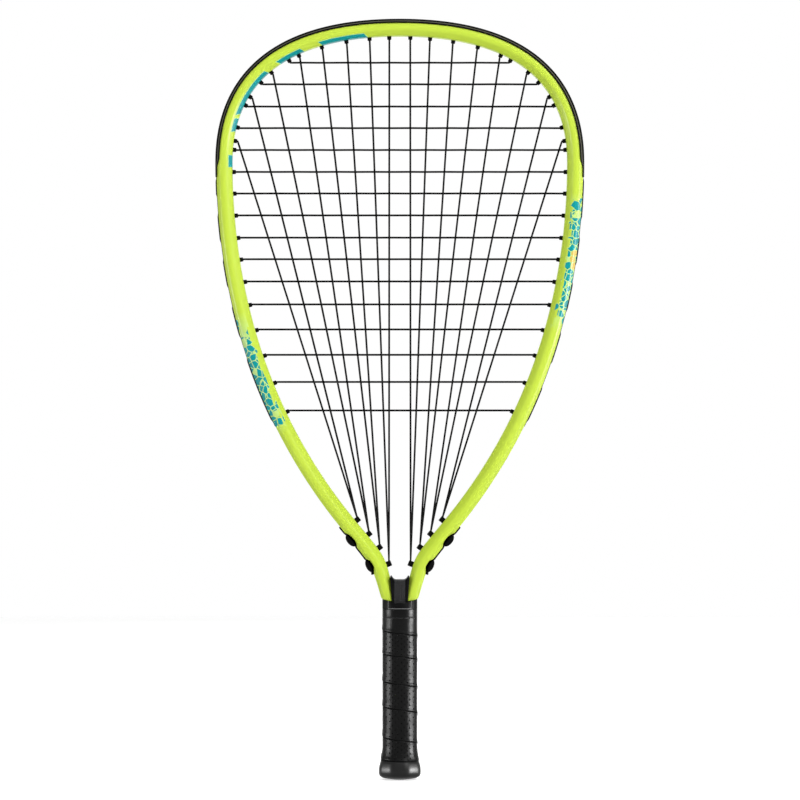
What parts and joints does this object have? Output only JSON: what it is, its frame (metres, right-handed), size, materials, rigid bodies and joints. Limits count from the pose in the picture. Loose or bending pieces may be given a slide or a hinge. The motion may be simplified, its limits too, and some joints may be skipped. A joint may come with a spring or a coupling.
{
  "type": "racquetball racket",
  "caption": "Teardrop racquetball racket: hollow hairpin frame strung with fanned mains and level crosses, bumper guard, throat yoke and wrapped octagonal handle.",
  "frame": {"origin": "middle of the butt cap's flat end face", "axes": "+Z from the butt to the head along the handle, +X across the head, +Y out of the back of the string bed"},
  "size_m": [0.2708, 0.0346, 0.5588],
  "materials": {
    "frame_paint": "glossy lime paint over moulded carbon composite",
    "guard_plastic": "satin black nylon",
    "string_nylon": "semi-gloss black string",
    "yoke_plastic": "satin black moulding",
    "pallet_foam": "matte moulded polyurethane",
    "grip_wrap": "satin perforated synthetic leather",
    "collar_rubber": "satin black rubber",
    "cap_plastic": "satin black rubbery plastic",
    "tack_steel": "plain steel"
  },
  "bodies": {
    "root": {"frame": "frame_paint", "bumper_guard": "guard_plastic", "crown_grommet_strip": "guard_plastic", "side_grommet_strip_left": "guard_plastic", "side_grommet_strip_right": "guard_plastic", "throat_grommet_strip_left": "guard_plastic", "throat_grommet_strip_right": "guard_plastic", "main_string": "string_nylon", "cross_string": "string_nylon", "throat_yoke": "yoke_plastic", "pallet_front": "pallet_foam", "pallet_back": "pallet_foam", "grip_wrap": "grip_wrap", "grip_collar": "collar_rubber", "butt_cap": "cap_plastic", "butt_cap_tack_front": "tack_steel", "butt_cap_tack_back": "tack_steel"}
  },
  "joints": []
}
